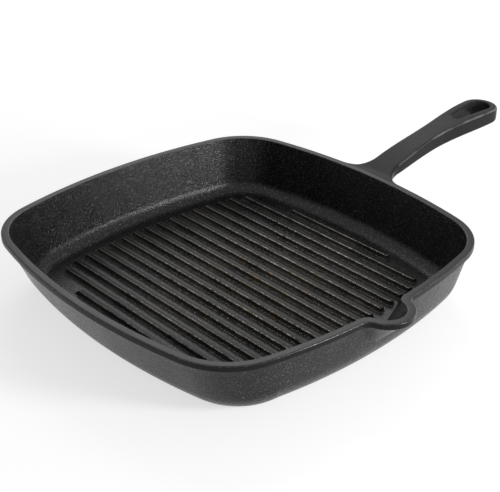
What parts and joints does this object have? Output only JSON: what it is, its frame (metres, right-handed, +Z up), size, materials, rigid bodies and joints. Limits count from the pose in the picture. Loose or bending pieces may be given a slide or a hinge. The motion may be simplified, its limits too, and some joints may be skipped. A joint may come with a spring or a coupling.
{
  "type": "square cast iron grill pan",
  "caption": "Square cast iron grill pan with flared walls, parallel ridges across the floor, a pouring lip on one side and a rising handle with a drop-shaped hanging eye.",
  "frame": {"origin": "middle of the pan on its flat underside", "axes": "+X along the handle, +Z up, the pouring lip on the -Y side"},
  "size_m": [0.4055, 0.2814, 0.0658],
  "materials": {
    "seasoned_floor": "grainy as-cast iron, black seasoning, satin",
    "cast_wall": "fine sandy as-cast iron, black seasoning, satin",
    "smooth_rim": "smooth black seasoned iron, satin",
    "satin_handle": "smooth black seasoned iron, satin",
    "grill_ribs": "black seasoned iron, smooth crests and grainy sides"
  },
  "bodies": {
    "root": {"pan_floor": "seasoned_floor", "wall_toe": "cast_wall", "wall_handle": "cast_wall", "wall_lip": "cast_wall", "wall_far": "cast_wall", "corner_toe_lip": "cast_wall", "corner_toe_far": "cast_wall", "corner_handle_lip": "cast_wall", "corner_handle_far": "cast_wall", "rim_band": "smooth_rim", "pour_lip": "smooth_rim", "handle_root": "satin_handle", "handle_shank": "satin_handle", "hanging_eye": "satin_handle", "grill_rib_01": "grill_ribs", "grill_rib_02": "grill_ribs", "grill_rib_03": "grill_ribs", "grill_rib_04": "grill_ribs", "grill_rib_05": "grill_ribs", "grill_rib_06": "grill_ribs", "grill_rib_07": "grill_ribs", "grill_rib_08": "grill_ribs", "grill_rib_09": "grill_ribs", "grill_rib_10": "grill_ribs", "grill_rib_11": "grill_ribs", "grill_rib_12": "grill_ribs", "grill_rib_13": "grill_ribs", "grill_rib_14": "grill_ribs", "grill_rib_15": "grill_ribs", "grill_rib_16": "grill_ribs", "grill_rib_17": "grill_ribs", "grill_rib_18": "grill_ribs"}
  },
  "joints": []
}
